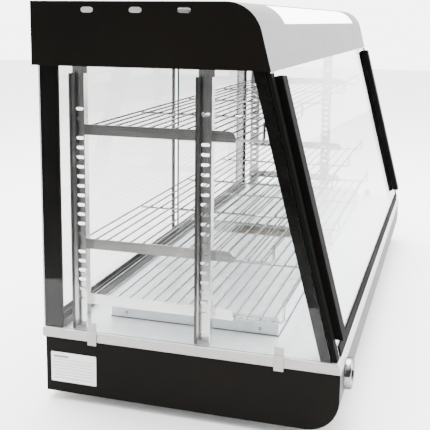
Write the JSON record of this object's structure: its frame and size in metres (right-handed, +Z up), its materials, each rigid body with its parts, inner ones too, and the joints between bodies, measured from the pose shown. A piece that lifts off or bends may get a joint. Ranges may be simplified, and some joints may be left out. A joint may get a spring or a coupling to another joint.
{
  "type": "hot food display case",
  "caption": "Countertop heated display case: sloping glass front, wire racks on slotted uprights, lit steel canopy, sliding rear doors.",
  "frame": {"origin": "middle of the footprint on the surface that the feet stand on", "axes": "+X along the case's length, +Y from the customer's glass front towards the sliding doors, +Z up"},
  "size_m": [1.203, 0.5098, 0.645],
  "materials": {
    "black_paint": "satin powder coat",
    "stainless": "fine satin sheet",
    "brushed_stainless": "long-grain brushed sheet",
    "bright_wire": "electropolished wire",
    "glass": "clear toughened, ground edges",
    "black_plastic": "fine moulded texture",
    "rubber": "matt",
    "white_window": "opal gloss sheet",
    "lamp_glass": "white coated tube",
    "heater_metal": "heat-darkened sheath",
    "chrome_trim": "polished bezel"
  },
  "bodies": {
    "case": {"base_end_panel_left": "black_paint", "base_end_panel_right": "black_paint", "base_pan": "stainless", "cable_gland": "black_plastic", "canopy_cap_left": "black_paint", "canopy_cap_right": "black_paint", "canopy_cover": "brushed_stainless", "canopy_rear_fascia": "stainless", "canopy_underside": "stainless", "deck_plate": "brushed_stainless", "door_track_bottom": "black_plastic", "door_track_top": "black_plastic", "end_glass_left": "glass", "end_glass_right": "glass", "foot_front_left": "rubber", "foot_front_right": "rubber", "foot_rear_left": "rubber", "foot_rear_right": "rubber", "front_apron": "brushed_stainless", "front_channel": "black_paint", "front_glass": "glass", "front_glass_bar_left": "black_paint", "front_glass_bar_right": "black_paint", "front_post_left": "black_paint", "front_post_right": "black_paint", "glass_clip_front_left": "stainless", "glass_clip_front_right": "stainless", "glass_clip_rear_left": "stainless", "glass_clip_rear_right": "stainless", "heater_cover_left": "stainless", "heater_cover_right": "stainless", "heating_element_left": "heater_metal", "heating_element_right": "heater_metal", "lamp_tube": "lamp_glass", "light_window": "white_window", "rear_panel": "stainless", "rear_post_left": "black_paint", "rear_post_right": "black_paint", "shelf_arm_1_left": "stainless", "shelf_arm_1_right": "stainless", "shelf_arm_2_left": "stainless", "shelf_arm_2_right": "stainless", "shelf_arm_3_left": "stainless", "shelf_arm_3_right": "stainless", "shelf_upright_front_left": "stainless", "shelf_upright_front_right": "stainless", "shelf_upright_rear_left": "stainless", "shelf_upright_rear_right": "stainless", "thermometer": "chrome_trim"},
    "door_left": {"rear_door_left": "glass", "door_handle_left": "black_plastic"},
    "door_right": {"rear_door_right": "glass", "door_handle_right": "black_plastic"},
    "rack_lower": {"wire_rack_1": "bright_wire"},
    "rack_middle": {"wire_rack_2": "bright_wire"},
    "rack_upper": {"wire_rack_3": "bright_wire"},
    "lift_out_pan": {"water_pan": "stainless"},
    "knob": {"thermostat_knob": "black_plastic"},
    "power_rocker": {"power_switch": "black_plastic"},
    "light_rocker": {"light_switch": "black_plastic"}
  },
  "joints": [
    {"name": "door_left_slide", "type": "slide", "parent": "case", "child": "door_left", "axis": [1, 0, 0], "range_m": [0, 0.55]},
    {"name": "door_right_slide", "type": "slide", "parent": "case", "child": "door_right", "axis": [-1, 0, 0], "range_m": [0, 0.55]},
    {"name": "rack_lower_lift", "type": "slide", "parent": "case", "child": "rack_lower", "axis": [0, 0, 1], "range_m": [0, 0.04]},
    {"name": "rack_middle_lift", "type": "slide", "parent": "case", "child": "rack_middle", "axis": [0, 0, 1], "range_m": [0, 0.04]},
    {"name": "rack_upper_lift", "type": "slide", "parent": "case", "child": "rack_upper", "axis": [0, 0, 1], "range_m": [0, 0.012]},
    {"name": "water_pan_lift", "type": "slide", "parent": "case", "child": "lift_out_pan", "axis": [0, 0, 1], "range_m": [0, 0.01]},
    {"name": "knob_turn", "type": "hinge", "parent": "case", "child": "knob", "pos_m": [0.38, 0.2349, 0.066], "axis": [0, -1, 0], "range_deg": [0, 270]},
    {"name": "power_rock", "type": "hinge", "parent": "case", "child": "power_rocker", "pos_m": [0.47, 0.2349, 0.066], "axis": [1, 0, 0], "range_deg": [0, 16]},
    {"name": "light_rock", "type": "hinge", "parent": "case", "child": "light_rocker", "pos_m": [0.435, 0.2349, 0.066], "axis": [1, 0, 0], "range_deg": [0, 16]}
  ]
}
